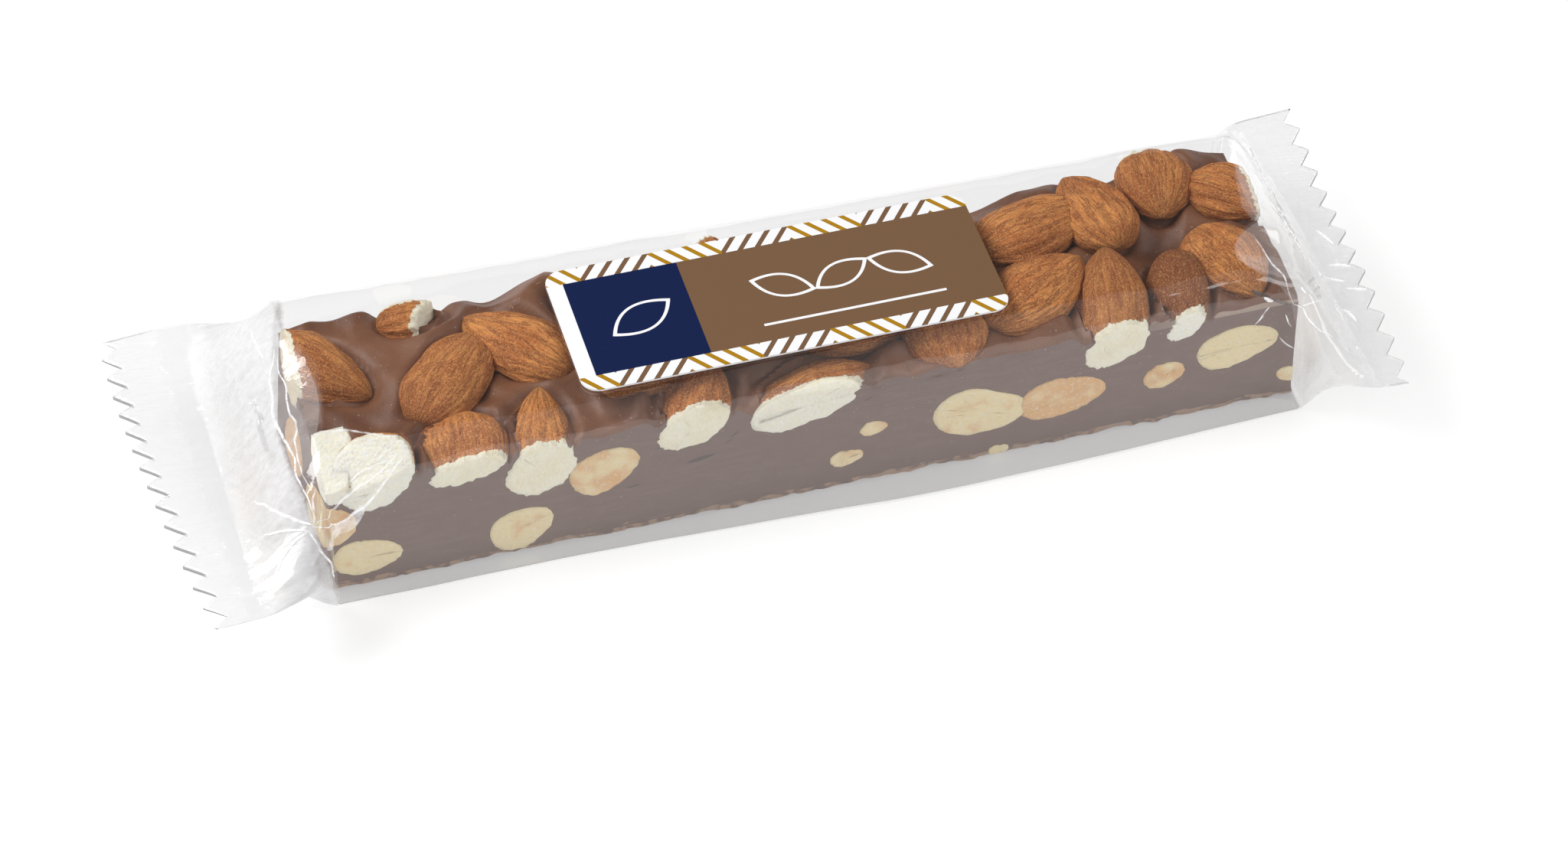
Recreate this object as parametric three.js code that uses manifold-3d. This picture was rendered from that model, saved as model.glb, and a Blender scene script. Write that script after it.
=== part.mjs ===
// A nougat bar sealed in a clear flow pack, with a paper label on its top.
// Millimetres, +Z up. X runs along the bar and -Y is its front. The origin is on the
// underside, below the middle of the bar.
import * as THREE from "three";
import { mergeVertices } from "three/addons/utils/BufferGeometryUtils.js";
import Module from "manifold-3d";

const wasm = await Module();
wasm.setup();

// The bar, which sets the size of the pack round it.
const barLength = 180;
const barWidth = 41;
const blockHeight = 24; // the nougat without the almonds that stand out of its top
const almondTop = 30.4; // the highest almonds, which carry the film

// The film tube. Its front bulges out towards the table, most at bulgeAt along the bar.
const tube = {
  frontGap: 3.7, // from the bar's front face to the film at the table, at the ends
  frontBulge: 2.8, // and how much more it is where it bulges most
  bulgeAt: 30,
  bulgeReach: 85,
  frontSlack: 0.6, // how far the front hangs in from a straight line
  backGap: 2.2, // the same at the back
  bendGap: 0.7, // at the front top edge, where the film bends over the bar
  bendRise: 2.6, // how far above the block that bend is
  crownHalf: 16.2, // half the width that lies level on the almonds
  shoulderRise: 3.6, // how far above the block the film runs down the back
  shoulderLeft: 6.4, // how far it stands behind the bar there, at the left end
  shoulderRight: 1.2, // and at the right end
};
const crownHeight = almondTop + 0.6;

// The flat sealed ends. reach is from the middle of the bar to the tips at the back.
const fins = {
  height: 15.4, // of their middle above the table
  halfWidth: 38,
  thickness: 0.9, // two films, pressed together
  left: { side: -1, root: 106, reach: 120.9, slant: 0, bow: 6.8, pitch: 5.4, depth: 3.1 },
  right: { side: 1, root: 100, reach: 110.4, slant: 4.2, bow: 0, pitch: 6.1, depth: 2.6 },
  sway: 0.7, // how far the fins wave up and down
};

// Where almonds lift the film beside the label, from the middle of the bar.
const liftedAt = [
  [-83, 9],
  [-64, -6],
  [-54, 6],
  [-64, -17],
  [47, 10],
  [55, -8],
  [60, 12],
  [72, 14],
  [79, -5],
];
const lift = { height: 0.9, radius: 7 };

const label = { x: -2.6, y: 0, length: 79, width: 32, corner: 3.4, thickness: 0.4 };
const contactGap = 0.3; // between solids that touch

// Points round the section, as steps along each straight side of it.
const steps = { base: 4, side: 3, slope: 3, crown: 11 };
const cornerTension = 0.3; // how round the film's corners are

const mix = THREE.MathUtils.lerp;
const ease = (t) => THREE.MathUtils.smoothstep(t, 0, 1);

// The section of the tube at x, as corners from the front of the base up and over to the back.
function tubeCorners(x) {
  const half = barWidth / 2;
  const along = THREE.MathUtils.clamp(x / barLength + 0.5, 0, 1);
  const shoulder = half + mix(tube.shoulderLeft, tube.shoulderRight, along);
  const front = tube.frontGap + tube.frontBulge * ease(1 - Math.abs(x - tube.bulgeAt) / tube.bulgeReach);
  const upFront = fins.height / (blockHeight + tube.bendRise);
  return [
    [-half - front, 0],
    [-half - mix(front, tube.bendGap, upFront) + tube.frontSlack, fins.height],
    [-half - tube.bendGap, blockHeight + tube.bendRise],
    [-tube.crownHalf, crownHeight],
    [tube.crownHalf, crownHeight],
    [shoulder, blockHeight + tube.shoulderRise],
    [(shoulder + half + tube.backGap) / 2, fins.height],
    [half + tube.backGap, 0],
  ];
}

// The same corners where the film lies flat in a fin. Each side wall is folded out to a point.
function finCorners() {
  const top = fins.height + fins.thickness / 2;
  const bottom = fins.height - fins.thickness / 2;
  const fold = fins.halfWidth - fins.height * 0.8;
  return [
    [-fold, bottom],
    [-fins.halfWidth, fins.height],
    [-fold, top],
    [-tube.crownHalf, top],
    [tube.crownHalf, top],
    [fold, top],
    [fins.halfWidth, fins.height],
    [fold, bottom],
  ];
}

// How flat the film lies at x: 0 along the bar and 1 in the fins.
function flatness(x) {
  const fin = x < 0 ? fins.left : fins.right;
  return THREE.MathUtils.clamp((Math.abs(x) - barLength / 2) / (fin.root - barLength / 2), 0, 1);
}

// One ring of points round the film at x. The side walls fold out faster than the top comes down.
function ring(x) {
  const flat = flatness(x);
  const outward = Math.sqrt(1 - (1 - flat) ** 2);
  const downward = mix(flat, ease(flat), 0.5);
  const closed = finCorners();
  const corners = tubeCorners(x).map(
    ([y, z], i) => new THREE.Vector3(x, mix(y, closed[i][0], outward), mix(z, closed[i][1], downward)),
  );
  const curve = new THREE.CatmullRomCurve3(corners, true, "catmullrom", cornerTension);
  const perSide = [steps.side, steps.side, steps.slope, steps.crown, steps.slope, steps.side, steps.side, steps.base];
  const points = [];
  perSide.forEach((count, side) => {
    for (let i = 0; i < count; i++) points.push(curve.getPoint((side + i / count) / corners.length));
  });
  for (const p of points) {
    p.z = THREE.MathUtils.clamp(p.z, 0, crownHeight) + flat * fins.sway * Math.sin(p.y / 9 + x / 7);
    if (p.z > blockHeight) p.z += (1 - flat) * liftAt(x, p.y);
  }
  return points;
}

// How far the almonds below push the film up at (x, y), nothing under the label.
function liftAt(x, y) {
  let most = 0;
  for (const [almondX, almondY] of liftedAt) {
    const away = Math.hypot(x - almondX, y - almondY) / lift.radius;
    most = Math.max(most, lift.height * Math.exp(-away * away));
  }
  return most;
}

// The places of the rings along the bar, closer together where the film folds.
function stations() {
  const places = [];
  const run = (from, to, count) => {
    for (let i = 0; i < count; i++) places.push(mix(from, to, i / count));
  };
  const endLeft = -fins.left.reach - 2;
  const endRight = fins.right.reach + 2;
  const halfBar = barLength / 2;
  run(endLeft, -fins.left.root, 4);
  run(-fins.left.root, -halfBar, 7);
  run(-halfBar, halfBar, 40);
  run(halfBar, fins.right.root, 7);
  run(fins.right.root, endRight, 4);
  places.push(endRight);
  return places;
}

// A closed cylinder laid along X, with each of its rings moved to a ring of the film.
function filmGeometry() {
  const rings = stations().map(ring);
  const around = rings[0].length;
  const geometry = new THREE.CylinderGeometry(1, 1, 1, around, rings.length - 1);
  const position = geometry.getAttribute("position");
  const wall = rings.length * (around + 1);
  for (let i = 0; i < position.count; i++) {
    if (i < wall) {
      const p = rings[Math.floor(i / (around + 1))][(i % (around + 1)) % around];
      position.setXYZ(i, p.x, p.y, p.z);
      continue;
    }
    // The caps come after the wall, each as its centres and then its rim.
    const inCap = (i - wall) % (2 * around + 1);
    const end = i - wall < 2 * around + 1 ? rings[0] : rings[rings.length - 1];
    const rim = end[(inCap - around) % around];
    if (inCap < around) position.setXYZ(i, end[0].x, 0, fins.height);
    else position.setXYZ(i, rim.x, rim.y, rim.z);
  }
  return geometry;
}

function solidOf(geometry) {
  const bare = new THREE.BufferGeometry();
  bare.setAttribute("position", geometry.getAttribute("position"));
  bare.setIndex(geometry.getIndex());
  const merged = mergeVertices(bare, 1e-4);
  const triVerts = new Uint32Array(merged.index.array);
  return new wasm.Manifold(
    new wasm.Mesh({ numProp: 3, vertProperties: merged.attributes.position.array, triVerts }),
  );
}

function geometryOf(solid) {
  const mesh = solid.getMesh();
  const geometry = new THREE.BufferGeometry();
  geometry.setAttribute("position", new THREE.BufferAttribute(mesh.vertProperties, 3));
  geometry.setIndex(new THREE.BufferAttribute(mesh.triVerts, 1));
  geometry.computeVertexNormals();
  return geometry;
}

// What the zigzag knife takes off one fin: everything outside its row of teeth.
function zigzagCutter(fin) {
  const margin = 6;
  const outside = fin.side * (fin.reach + 10);
  const shape = new THREE.Shape();
  shape.moveTo(outside, fins.halfWidth + margin);
  for (let tip = fins.halfWidth + margin; tip > -fins.halfWidth - margin; tip -= fin.pitch) {
    for (const [y, cut] of [[tip, 0], [tip - fin.pitch / 2, fin.depth]]) {
      const fromBack = (fins.halfWidth - y) / (2 * fins.halfWidth);
      const reach = fin.reach - fin.slant * fromBack - fin.bow * fromBack ** 2;
      shape.lineTo(fin.side * (reach - cut), y);
    }
  }
  shape.lineTo(outside, -fins.halfWidth - margin);
  const cutter = new THREE.ExtrudeGeometry(shape, { depth: 12, bevelEnabled: false });
  cutter.translate(0, 0, fins.height - 6);
  return cutter;
}

function wrapperMesh() {
  let film = solidOf(filmGeometry());
  for (const fin of [fins.left, fins.right]) film = film.subtract(solidOf(zigzagCutter(fin)));
  const material = new THREE.MeshStandardMaterial({
    color: 0xe9ebed,
    roughness: 0.15,
    metalness: 0,
    transparent: true,
    opacity: 0.35,
  });
  const mesh = new THREE.Mesh(geometryOf(film), material);
  mesh.name = "wrapper";
  return mesh;
}

// A paper rectangle with round corners, lying on the crown of the film.
function labelMesh() {
  const { length, width, corner } = label;
  const right = length / 2;
  const back = width / 2;
  const shape = new THREE.Shape();
  shape.moveTo(-right + corner, -back);
  shape.lineTo(right - corner, -back);
  shape.absarc(right - corner, -back + corner, corner, -Math.PI / 2, 0);
  shape.absarc(right - corner, back - corner, corner, 0, Math.PI / 2);
  shape.absarc(-right + corner, back - corner, corner, Math.PI / 2, Math.PI);
  shape.absarc(-right + corner, -back + corner, corner, Math.PI, 1.5 * Math.PI);
  const geometry = new THREE.ExtrudeGeometry(shape, {
    depth: label.thickness,
    bevelEnabled: false,
    curveSegments: 6,
  });
  const material = new THREE.MeshStandardMaterial({ color: 0x6f4e37, roughness: 0.5, metalness: 0 });
  const mesh = new THREE.Mesh(geometry, material);
  mesh.name = "label";
  mesh.position.set(label.x, label.y, crownHeight + contactGap);
  return mesh;
}

const pack = new THREE.Group();
pack.add(wrapperMesh(), labelMesh());

export default pack;
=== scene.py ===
import math

import bmesh
import bpy
from mathutils import Matrix, Vector, noise
from mathutils.bvhtree import BVHTree


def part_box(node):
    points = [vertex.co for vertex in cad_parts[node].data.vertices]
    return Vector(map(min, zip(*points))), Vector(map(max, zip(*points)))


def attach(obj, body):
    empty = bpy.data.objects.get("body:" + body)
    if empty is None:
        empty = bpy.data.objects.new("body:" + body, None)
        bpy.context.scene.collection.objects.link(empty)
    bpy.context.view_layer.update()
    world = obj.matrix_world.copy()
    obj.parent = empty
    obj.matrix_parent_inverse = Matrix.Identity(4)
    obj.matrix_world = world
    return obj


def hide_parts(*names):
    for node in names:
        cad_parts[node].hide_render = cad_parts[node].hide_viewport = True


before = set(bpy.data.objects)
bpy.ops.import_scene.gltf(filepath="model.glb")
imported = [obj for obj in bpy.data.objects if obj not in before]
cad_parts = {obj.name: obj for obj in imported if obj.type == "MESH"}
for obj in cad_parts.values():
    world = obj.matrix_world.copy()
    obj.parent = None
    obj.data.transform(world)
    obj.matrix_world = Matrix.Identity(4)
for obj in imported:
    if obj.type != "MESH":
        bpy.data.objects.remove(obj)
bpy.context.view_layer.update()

# A nougat bar with almonds in a clear flow pack. Shapes are worked out in millimetres, in the
# part's own frame: X along the bar, -Y its front, +Z up, and made metres at the end.
metresPerMm = 0.001

# The bar inside the pack, which every other piece is set against.
bar = {
    "length": 180,
    "width": 41,
    "height": 24,  # of the nougat between its almonds
    "rest": 0.4,  # how far its underside is above the table
    "almondTop": 30.4,
    "flare": 2.2,  # how far the left end reaches out at its foot
}


def mix(a, b, share):
    return a + (b - a) * share


def clamp(value, low=0.0, high=1.0):
    return max(low, min(high, value))


def ease(value, start=0.0, end=1.0):
    share = clamp((value - start) / (end - start))
    return share * share * (3 - 2 * share)


def grain(point, size, seed=0.0):
    # smooth noise between -1 and 1, whose bumps are about size across
    return noise.noise(Vector(point) / size + Vector((seed, seed * 0.7, -seed)))


def turned(x, y, angle):
    # the same place along and across a line at that angle
    return x * math.cos(angle) + y * math.sin(angle), y * math.cos(angle) - x * math.sin(angle)


def addObject(name, data):
    made = bpy.data.objects.new(name, data)
    bpy.context.scene.collection.objects.link(made)
    return made


def markPoints(shape, name, value):
    layer = shape.verts.layers.float.new(name)
    for vert in shape.verts:
        vert[layer] = value


# Materials

def first(operation):
    # a Math node that takes the wire before the other value
    return lambda wire, other: wire.math(operation, wire, other)


def second(operation):
    # and one that takes it after
    return lambda wire, other: wire.math(operation, other, wire)


class Wire:
    # one output socket, on which Python arithmetic adds Math nodes
    def __init__(self, shader, socket):
        self.shader = shader
        self.socket = socket

    def math(self, operation, *values):
        return self.shader.node("ShaderNodeMath", {"operation": operation}, dict(enumerate(values)))

    __add__, __radd__ = first("ADD"), second("ADD")
    __sub__, __rsub__ = first("SUBTRACT"), second("SUBTRACT")
    __mul__, __rmul__ = first("MULTIPLY"), second("MULTIPLY")
    __truediv__, __rtruediv__ = first("DIVIDE"), second("DIVIDE")
    __pow__, __rpow__ = first("POWER"), second("POWER")
    __lt__, __gt__ = first("LESS_THAN"), first("GREATER_THAN")
    least, most = first("MINIMUM"), first("MAXIMUM")
    pingpong = first("PINGPONG")

    def size(self):
        return self.math("ABSOLUTE", self)

    def sine(self):
        return self.math("SINE", self)

    def fraction(self):
        return self.math("FRACT", self)

    def ease(self, start, end):
        settings = {"interpolation_type": "SMOOTHSTEP"}
        return self.shader.node("ShaderNodeMapRange", settings, {0: self, 1: start, 2: end})


class Shader:
    # one node tree, of a material or of the world
    def __init__(self, name, tree=None):
        self.material = None
        if tree is None:
            self.material = bpy.data.materials.new(name)
            self.material.use_nodes = True
            tree = self.material.node_tree
        self.tree = tree
        self.tree.nodes.clear()

    def node(self, kind, settings=None, inputs=None, output=0):
        made = self.tree.nodes.new(kind)
        for name, value in (settings or {}).items():
            setattr(made, name, value)
        for name, value in (inputs or {}).items():
            if isinstance(value, Wire):
                self.tree.links.new(value.socket, made.inputs[name])
            else:
                made.inputs[name].default_value = value
        return Wire(self, made.outputs[output])

    def place(self):
        # object coordinates in millimetres
        return self.stretch(self.node("ShaderNodeTexCoord", output="Object"), (1 / metresPerMm,) * 3)

    def stretch(self, vector, scale):
        return self.node("ShaderNodeVectorMath", {"operation": "MULTIPLY"}, {0: vector, 1: scale})

    def axes(self, vector):
        return [self.node("ShaderNodeSeparateXYZ", inputs={0: vector}, output=i) for i in range(3)]

    def noise(self, vector, scale, detail=2.0, roughness=0.5):
        inputs = {"Vector": vector, "Scale": scale, "Detail": detail, "Roughness": roughness}
        return self.node("ShaderNodeTexNoise", inputs=inputs)

    def spots(self, vector, scale):
        return self.node("ShaderNodeTexVoronoi", inputs={"Vector": vector, "Scale": scale}, output="Distance")

    def attribute(self, name, output="Fac"):
        return self.node("ShaderNodeAttribute", {"attribute_name": name}, output=output)

    def blend(self, share, a, b):
        # a colour between a and b
        inputs = {0: share, 6: self.paint(a), 7: self.paint(b)}
        return self.node("ShaderNodeMix", {"data_type": "RGBA"}, inputs, output=2)

    def layers(self, colour, *coats):
        # the colour with coats over it, each a share and its own colour
        for share, coat in coats:
            colour = self.blend(share, colour, coat)
        return colour

    def paint(self, colour):
        return colour if isinstance(colour, Wire) else (*colour, 1)

    def bump(self, height, distance, strength=1.0):
        # distance is how many millimetres a height of 1 stands up
        inputs = {"Height": height, "Distance": distance * metresPerMm, "Strength": strength}
        return self.node("ShaderNodeBump", inputs=inputs)

    def surface(self, **inputs):
        named = {name.replace("_", " "): value for name, value in inputs.items()}
        return self.node("ShaderNodeBsdfPrincipled", inputs=named)

    def blendSurfaces(self, share, a, b):
        return self.node("ShaderNodeMixShader", inputs={0: share, 1: a, 2: b})

    def finish(self, surface, kind="ShaderNodeOutputMaterial"):
        made = self.tree.nodes.new(kind)
        self.tree.links.new(surface.socket, made.inputs["Surface"])
        return self.material


# Camera, floor and light

camera = {
    "azimuth": -15.4775,  # degrees round the bar, 0 straight in front
    "elevation": 44.5441,
    "roll": -0.5174,
    "pictureWidth": 2048,
    "focalPixels": 6453.74,  # in a picture of that width
    "target": (0, -3.4, 15),
    "distance": 897.205,
    "aside": (2.1587, 11.7199),  # how far right of and above the middle the target stands
}


def makeCamera():
    turn, tilt, roll = (math.radians(camera[key]) for key in ("azimuth", "elevation", "roll"))
    back = Vector((math.sin(turn) * math.cos(tilt), -math.cos(turn) * math.cos(tilt), math.sin(tilt)))
    right = Vector((math.cos(turn), math.sin(turn), 0))
    up = back.cross(right)
    rolledRight = right * math.cos(roll) + up * math.sin(roll)
    rolledUp = up * math.cos(roll) - right * math.sin(roll)
    acrossX, acrossY = camera["aside"]
    spot = Vector(camera["target"]) - rolledRight * acrossX - rolledUp * acrossY
    spot += back * camera["distance"]
    data = bpy.data.cameras.new("photoCamera")
    data.sensor_width = 36
    data.lens = camera["focalPixels"] / camera["pictureWidth"] * data.sensor_width
    data.clip_start = 0.01
    data.clip_end = 20
    made = addObject("photoCamera", data)
    pose = Matrix((rolledRight, rolledUp, back)).transposed().to_4x4()
    pose.translation = spot * metresPerMm
    made.matrix_world = pose
    bpy.context.scene.camera = made


studio = {
    "around": 0.38,  # brightness of the room
    "reflectors": [
        # the direction of each white reflector, its size in degrees and its brightness
        ((-0.60, 0.69, 0.36), 24, 1.2),
        ((0.66, 0.69, 0.28), 15, 1.15),
        ((0.19, 0.64, 0.74), 27, 0.05),  # a dark one, which the level top of the film reflects
    ],
    "reflectorRim": 0.02,  # how softly a reflector ends
    "lamps": [
        # place, aim, width, height, watts
        ((-640, 170, 780), (0, 0, 0), 600, 520, 7.9),
        ((640, -330, 600), (0, 0, 0), 600, 500, 2.7),
    ],
    "floorColour": (0.45, 0.45, 0.45),
    "floorGlow": 0.60,  # so that the table stays white under the pack, as in the photo
    "floorBelow": 0.25,
    "floorSize": 3,  # half its side, in metres
}


def makeStudio():
    scene = bpy.context.scene
    scene.view_settings.view_transform = "Standard"
    scene.world = bpy.data.worlds.new("studio")
    scene.world.use_nodes = True
    shader = Shader("studio", scene.world.node_tree)
    toward = shader.node("ShaderNodeTexCoord", output="Generated")
    brightness = studio["around"]
    for direction, size, strength in studio["reflectors"]:
        inputs = {0: toward, 1: tuple(Vector(direction).normalized())}
        nearness = shader.node("ShaderNodeVectorMath", {"operation": "DOT_PRODUCT"}, inputs, "Value")
        rim = math.cos(math.radians(size))
        lit = nearness.ease(rim, rim + studio["reflectorRim"])
        brightness = lit * (strength - studio["around"]) + brightness
    inputs = {"Color": (1, 1, 1, 1), "Strength": brightness}
    background = shader.node("ShaderNodeBackground", inputs=inputs)
    shader.finish(background, "ShaderNodeOutputWorld")
    for number, (place, aim, width, height, watts) in enumerate(studio["lamps"]):
        data = bpy.data.lights.new("softLamp" + str(number), "AREA")
        data.shape = "RECTANGLE"
        data.size = width * metresPerMm
        data.size_y = height * metresPerMm
        data.energy = watts
        lamp = addObject(data.name, data)
        lamp.location = Vector(place) * metresPerMm
        lamp.rotation_euler = (Vector(place) - Vector(aim)).to_track_quat("Z", "Y").to_euler()
    shape = bmesh.new()
    bmesh.ops.create_grid(shape, x_segments=1, y_segments=1, size=studio["floorSize"])
    bmesh.ops.translate(shape, verts=shape.verts, vec=(0, 0, -studio["floorBelow"] * metresPerMm))
    mesh = bpy.data.meshes.new("floor")
    shape.to_mesh(mesh)
    floor = addObject("floor", mesh)
    shader = Shader("paleFloor")
    mesh.materials.append(shader.finish(shader.surface(
        Base_Color=(*studio["floorColour"], 1), Roughness=0.9, Specular_IOR_Level=0.0,
        Emission_Color=(1, 1, 1, 1), Emission_Strength=studio["floorGlow"])))


def addPiece(name, shape, materials, node=None):
    # A bmesh in millimetres becomes a finished object at the origin, in metres.
    bmesh.ops.scale(shape, verts=shape.verts, vec=(metresPerMm,) * 3)
    mesh = bpy.data.meshes.new(name)
    shape.to_mesh(mesh)
    shape.free()
    for material in materials:
        mesh.materials.append(material)
    mesh.shade_smooth()
    piece = addObject(name, mesh)
    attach(piece, "root")
    if node:
        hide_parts(node)
    print("made", name, "with", len(mesh.polygons), "faces")
    return piece


# Almonds

almond = {
    "around": 56,  # faces round each almond
    "along": 40,  # and from its base to its tip
    "point": 0.22,  # how much sharper the tip is than the base
    "taper": 0.18,  # how much the widest place lies towards the base
    "ridge": 0.52,  # height of the ridges along the skin
    "wrinkle": 0.2,
    "dent": 0.55,  # how uneven each almond is as a whole
    "plain": 0.7,  # the share of those faces that a roasted almond has
    "plainPoint": -0.08,
    "flush": 0.08,  # how far a cut face stands out of the bar's own face
    "proud": 0.16,  # and how far it swells in its middle
    "crumb": 0.11,  # how rough it is
    "capCuts": 9,  # points from its middle to its rim
    "ragged": 0.38,  # how uneven its outline is
    "tone": 0.12,  # how dark a skin is, where its row doesn't say
    "torn": 1.1,  # width of the strip where the skin has torn away at a cut
}

# Almonds that lie in the top, in millimetres and degrees: the place of each, its turn, its size and
# what sets it apart. The turn is the heading of the tip, its rise and the roll about its length.
# breaks are extra cut planes, each a point and the way its cut face looks.
topAlmonds = [
    ((-86.2, 9.8, 24.6), (-41, -5, 12), (24.6, 13.2, 11.8), {"end": 1, "tone": 0.2}),
    ((-65.7, 17.8, 24.2), (-8, 4, 0), (14, 9.4, 8), {"breaks": [((-63.6, 17.0, 25), (0.78, -0.50, 0.30))]}),
    ((-63.0, 0.3, 26.0), (50, 4, -8), (24.5, 15, 9), {"tone": 0.35}),
    ((-49.4, 4.6, 26.2), (130, 2, 0), (25, 14.5, 9), {"tone": 0}),
    ((-64.9, -17.2, 23.5), (-95, -12, 9), (17.4, 17, 6.6), {}),
    ((-51.0, -17.5, 21.3), (76, 35, -8), (23, 12.5, 10.5), {"tone": 0}),
    ((-87.6, -14.0, 24.4), (-98, -12, 0), (18, 8.4, 9.6), {"pale": 0.8,
     "breaks": [((-88.0, -14.0, 26.2), (-0.18, -0.28, 0.94)), ((-88, -8.4, 25), (0.05, 0.99, 0.12))]}),
    ((-80.6, -18.6, 25.2), (30, 25, 0), (16.4, 14.5, 12), {"pale": 1,
     "breaks": [((-79.6, -18.0, 27.2), (-0.26, -0.60, 0.76))]}),
    ((-22.7, -16.3, 23.4), (60, 20, -16), (20, 14, 9), {}),
    ((-30.8, -8.0, 25.5), (-20, 0, 0), (18, 12, 8), {"tone": 0.3}),
    ((-1.4, -18.0, 22.2), (8, 10, -20), (24.5, 14, 9.5), {"pale": 0.6}),
    ((9.3, -6.8, 25.5), (-10, 0, 0), (22, 13, 8), {"tone": 0.3}),
    ((25.4, -10.2, 25.2), (92, 14, 0), (21, 16, 9), {"tone": 0.2}),
    ((44.0, -7.6, 26.0), (30, 2, 0), (25, 14.5, 9), {"tone": 0}),
    ((48.8, 8.7, 26.0), (14, 2, 0), (24.5, 14.4, 9), {}),
    ((60.7, 9.9, 26.0), (102, 0, 0), (21.5, 13.8, 9), {"tone": 0}),
    ((74.2, 13.6, 26.1), (-100, 0, 0), (18, 14.5, 9), {"tone": 0.25}),
    ((87.0, 7.4, 25.8), (-42, 0, 0), (18.5, 13, 9), {"end": 1}),
    ((80.3, -9.3, 25.2), (-72, -4, 0), (19.5, 14.6, 9), {"tone": 0}),
    ((69.0, -14.6, 24.0), (-100, -18, 34), (20, 11.6, 7.8), {"tone": 0.9, "pale": 1}),
    ((56.2, -13.4, 23.6), (77, 24, -21), (25, 14.6, 10), {"tone": 0.45}),
    ((-18.2, 12.8, 25.2), (65, 0, 0), (20, 11, 9), {}),
    ((-9.6, 14.4, 25.0), (-85, 0, 0), (17, 7.4, 10), {}),
    ((-0.6, 12.2, 25.4), (80, 0, 0), (21, 12.6, 9), {}),
    ((-31.5, 9.5, 25.4), (160, 0, 0), (21, 12.5, 8.6), {}),
    ((-13.0, -1.6, 25.2), (25, 0, 0), (22, 12.4, 8.6), {}),
    ((16.5, 7.6, 25.4), (-35, 0, 0), (22, 13, 8.8), {}),
    ((31.0, 9.0, 25.2), (200, 0, 0), (19, 12, 8.6), {}),
]

# Roasted almonds without skin, inside the bar and cut where its sides were cut. front gives each one
# on the front face: x, z, length, height, tilt and how brown it is. back is the same on the back face.
sunkAlmonds = {
    "front": [
        (-83.7, 7.0, 12.6, 8.0, -4, 0.05), (-40.1, 16.3, 13.2, 9.8, 22, 0.55),
        (-55.7, 6.2, 12.2, 9.4, 24, 0.15), (29.7, 11.8, 18, 10.6, -12, 0.2),
        (45.3, 11.4, 16.6, 8.8, 4, 0.8), (9.6, 13.1, 5.2, 3.6, 5, 0.6), (4.6, 7.0, 6.4, 4.0, 8, 0.4),
        (33.5, 1.2, 3.8, 2.0, 0, 0.2), (64.8, 11.6, 8.0, 5.8, 14, 0.6), (78.8, 15.2, 15.8, 9.2, 5, 0.0),
        (89.2, 5.4, 3.4, 4.6, 60, 0.2),
    ],
    "back": [
        (-76, 9, 15, 8, 14, 0.3), (-58, 17, 11, 6, -10, 0.7), (-39, 8, 17, 9, 6, 0.1),
        (-14, 14, 13, 7.5, -16, 0.5), (4, 6.5, 9, 5, 30, 0.2), (24, 15, 16, 8.6, 8, 0.8),
        (41, 7, 12, 7.5, -20, 0.0), (62, 13, 17, 9, 3, 0.4), (80, 7, 9, 6, 24, 0.2),
    ],
    "depth": 8,
}
# At the ends: y, z, length, height, tilt and brownness of each cut face.
endAlmonds = {
    "left": [(6.6, 10.4, 16.6, 10.8, -36, 0.9)],
    "right": [(-8.5, 9, 14, 8, 8, 0.4), (8.5, 16, 13, 7.5, -12, 0.1), (15, 5, 7, 4.5, 20, 0.6)],
}
# The one in the left front corner: place, turn, size and brownness.
cornerAlmond = ((-91.2, -14.6, 13.6), (90, -27, 90), (22, 10, 13), 0.6)


def almondShape(size, seed, skinned):
    # an almond along X with its tip at +X, and where each point is on its skin
    shape = bmesh.new()
    share = 1 if skinned else almond["plain"]
    around, along = int(almond["around"] * share), int(almond["along"] * share)
    bmesh.ops.create_uvsphere(shape, u_segments=around, v_segments=along, radius=1)
    bmesh.ops.rotate(shape, verts=shape.verts, matrix=Matrix.Rotation(math.pi / 2, 3, "Y"))
    skinPlace = shape.verts.layers.float_vector.new("skinPlace")
    length, width, thickness = size
    point = almond["point"] if skinned else almond["plainPoint"]
    for vert in shape.verts:
        s = clamp(vert.co.x, -1, 1)
        side = Vector((0, vert.co.y, vert.co.z))
        if side.length > 1e-6:
            side.normalize()
        swell = max(0, 1 - s * s) ** (0.5 + point * ease(s, -0.2, 1)) * (1 - almond["taper"] * s) / 0.99
        onSkin = Vector((s * length * 0.5, side.y * 6, side.z * 6))
        vert[skinPlace] = onSkin + Vector((seed * 31.7, 0, 0))
        lengthwise = Vector((onSkin.x * 0.14, onSkin.y, onSkin.z))
        bend = 0.6 * grain(onSkin, 5, seed)
        ridges = 1 - 2.2 * abs(grain(lengthwise + Vector((0, bend, -bend)), 1.9, seed + 3))
        folds = 1 - 2 * abs(grain(lengthwise + Vector((bend, 0, bend)), 0.95, seed + 9))
        rise = almond["ridge"] * ridges + almond["wrinkle"] * folds - almond["ridge"] if skinned else 0
        rise = rise * ease(1 - abs(s), 0, 0.25) + almond["dent"] * grain(onSkin, 7, seed + 5)
        half = Vector((0, side.y * width / 2, side.z * thickness / 2)) * swell
        outward = Vector((0.25 * s, side.y, side.z)).normalized()
        vert.co = Vector((s * length / 2, 0, 0)) + half + outward * rise * min(1, 0.3 + swell)
    return shape


def placeAlmond(shape, at, turn):
    heading, rise, roll = (math.radians(part) for part in turn)
    pose = Matrix.Rotation(heading, 4, "Z") @ Matrix.Rotation(-rise, 4, "Y") @ Matrix.Rotation(roll, 4, "X")
    pose.translation = Vector(at)
    bmesh.ops.transform(shape, matrix=pose, verts=shape.verts)


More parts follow.
